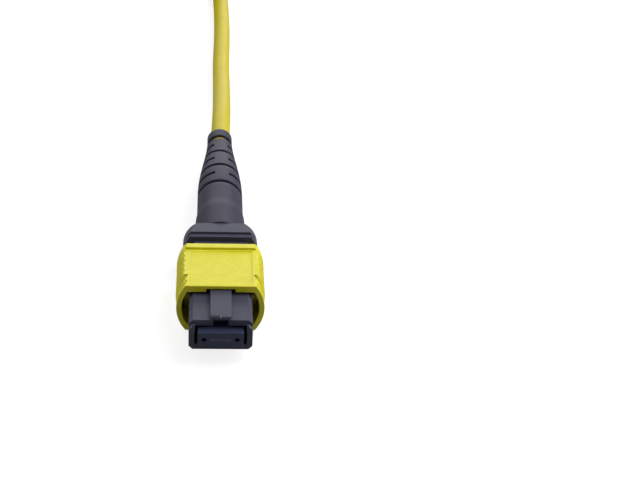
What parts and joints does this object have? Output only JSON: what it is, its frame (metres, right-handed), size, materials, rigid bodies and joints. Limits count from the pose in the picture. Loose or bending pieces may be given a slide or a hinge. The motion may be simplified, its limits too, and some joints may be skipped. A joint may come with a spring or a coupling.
{
  "type": "mpo fibre connector",
  "caption": "Push-pull multi-fibre plug with a sprung sliding sleeve, floating ferrule, key and slotted boot, on a round cable lead with the spare length tied in a hank.",
  "frame": {"origin": "centre of the ferrule's end face, midway between its two guide holes", "axes": "+Y from the end face back along the cable, +Z towards the side with the key, X across the connector through both guide holes"},
  "size_m": [0.0354, 0.2159, 0.0194],
  "materials": {
    "sleeve_plastic": "fine moulded texture, yellow",
    "housing_plastic": "moulded, dark blue grey",
    "ferrule_plastic": "ground and polished end face",
    "fibre_glass": "polished ends",
    "ribbon_plastic": "clear ribbon coating",
    "soft_rubber": "matte",
    "boot_rubber": "matte, dark blue grey",
    "spring_steel": "drawn wire",
    "aramid": "loose yarn",
    "crimp_metal": "plated",
    "jacket_plastic": "extruded, smooth, yellow",
    "tie_fabric": "hook and loop strap"
  },
  "bodies": {
    "connector": {"inner_housing": "housing_plastic", "rear_body": "housing_plastic", "strain_relief_boot": "boot_rubber", "fibre_ribbon": "ribbon_plastic", "main_spring": "spring_steel", "coupling_spring_left": "spring_steel", "coupling_spring_right": "spring_steel", "aramid_yarn": "aramid", "cable_jacket": "jacket_plastic", "crimp_ring": "crimp_metal", "cable": "jacket_plastic", "cable_hank": "jacket_plastic", "hank_tie": "tie_fabric", "cable_far_end": "jacket_plastic", "far_inner_housing": "housing_plastic", "far_rear_body": "housing_plastic", "far_strain_relief_boot": "boot_rubber"},
    "sleeve": {"coupling": "sleeve_plastic"},
    "ferrule_stack": {"ferrule": "ferrule_plastic", "optical_fibres": "fibre_glass", "ferrule_boot": "soft_rubber", "pin_keeper": "housing_plastic"},
    "far_sleeve": {"far_coupling": "sleeve_plastic"},
    "far_ferrule_block": {"far_ferrule": "ferrule_plastic"}
  },
  "joints": [
    {"name": "coupling_slide", "type": "slide", "parent": "connector", "child": "sleeve", "axis": [0, 1, 0], "range_m": [0, 0.0025], "stiffness_N_per_m": 1000, "deforming": ["coupling_spring_left", "coupling_spring_right"]},
    {"name": "ferrule_float", "type": "slide", "parent": "connector", "child": "ferrule_stack", "axis": [0, 1, 0], "range_m": [0, 0.0009], "stiffness_N_per_m": 4000, "deforming": ["main_spring", "fibre_ribbon"]},
    {"name": "far_coupling_slide", "type": "slide", "parent": "connector", "child": "far_sleeve", "axis": [0, -1, 0], "range_m": [0, 0.0025], "stiffness_N_per_m": 1000},
    {"name": "far_ferrule_float", "type": "slide", "parent": "connector", "child": "far_ferrule_block", "axis": [0, -1, 0], "range_m": [0, 0.0009], "stiffness_N_per_m": 4000}
  ]
}
